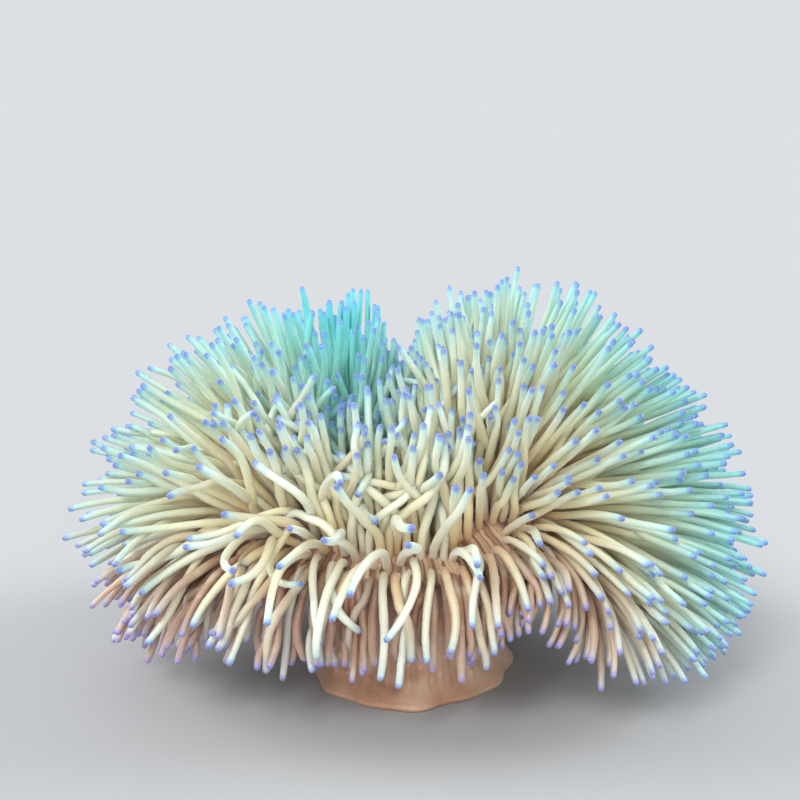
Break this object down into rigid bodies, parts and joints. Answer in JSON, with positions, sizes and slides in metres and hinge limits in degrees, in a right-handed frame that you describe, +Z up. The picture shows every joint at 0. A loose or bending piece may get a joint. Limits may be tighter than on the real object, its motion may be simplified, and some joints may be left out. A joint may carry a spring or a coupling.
{
  "type": "leathery sea anemone",
  "caption": "Life-size sea anemone with a tan column, a two-lobed crown of long pale tentacles with violet tips, and a fringe hanging in front.",
  "frame": {"origin": "centre of the pedal disc where it rests on the ground", "axes": "+Z up, +X to the viewer's right when the front is looked at, -Y out of the front, where the crown parts and hangs as a fringe"},
  "size_m": [0.4392, 0.3472, 0.2573],
  "materials": {
    "tentacle": "moist, softly glossy",
    "disc": "moist, satin",
    "column": "leathery, satin"
  },
  "bodies": {
    "root": {"pedal_disc": "column", "column": "column", "oral_disc": "disc", "mouth": "disc", "tentacles_inner_01": "tentacle", "tentacles_inner_02": "tentacle", "tentacles_inner_03": "tentacle", "tentacles_inner_04": "tentacle", "tentacles_inner_05": "tentacle", "tentacles_inner_06": "tentacle", "tentacles_inner_07": "tentacle", "tentacles_inner_08": "tentacle", "tentacles_inner_09": "tentacle", "tentacles_inner_10": "tentacle", "tentacles_inner_11": "tentacle", "tentacles_inner_12": "tentacle", "tentacles_middle_01": "tentacle", "tentacles_middle_02": "tentacle", "tentacles_middle_03": "tentacle", "tentacles_middle_04": "tentacle", "tentacles_middle_05": "tentacle", "tentacles_middle_06": "tentacle", "tentacles_middle_07": "tentacle", "tentacles_middle_08": "tentacle", "tentacles_middle_09": "tentacle", "tentacles_middle_10": "tentacle", "tentacles_middle_11": "tentacle", "tentacles_middle_12": "tentacle", "tentacles_outer_01": "tentacle", "tentacles_outer_02": "tentacle", "tentacles_outer_03": "tentacle", "tentacles_outer_04": "tentacle", "tentacles_outer_05": "tentacle", "tentacles_outer_06": "tentacle", "tentacles_outer_07": "tentacle", "tentacles_outer_08": "tentacle", "tentacles_outer_09": "tentacle", "tentacles_outer_10": "tentacle", "tentacles_outer_11": "tentacle", "tentacles_outer_12": "tentacle"}
  },
  "joints": []
}
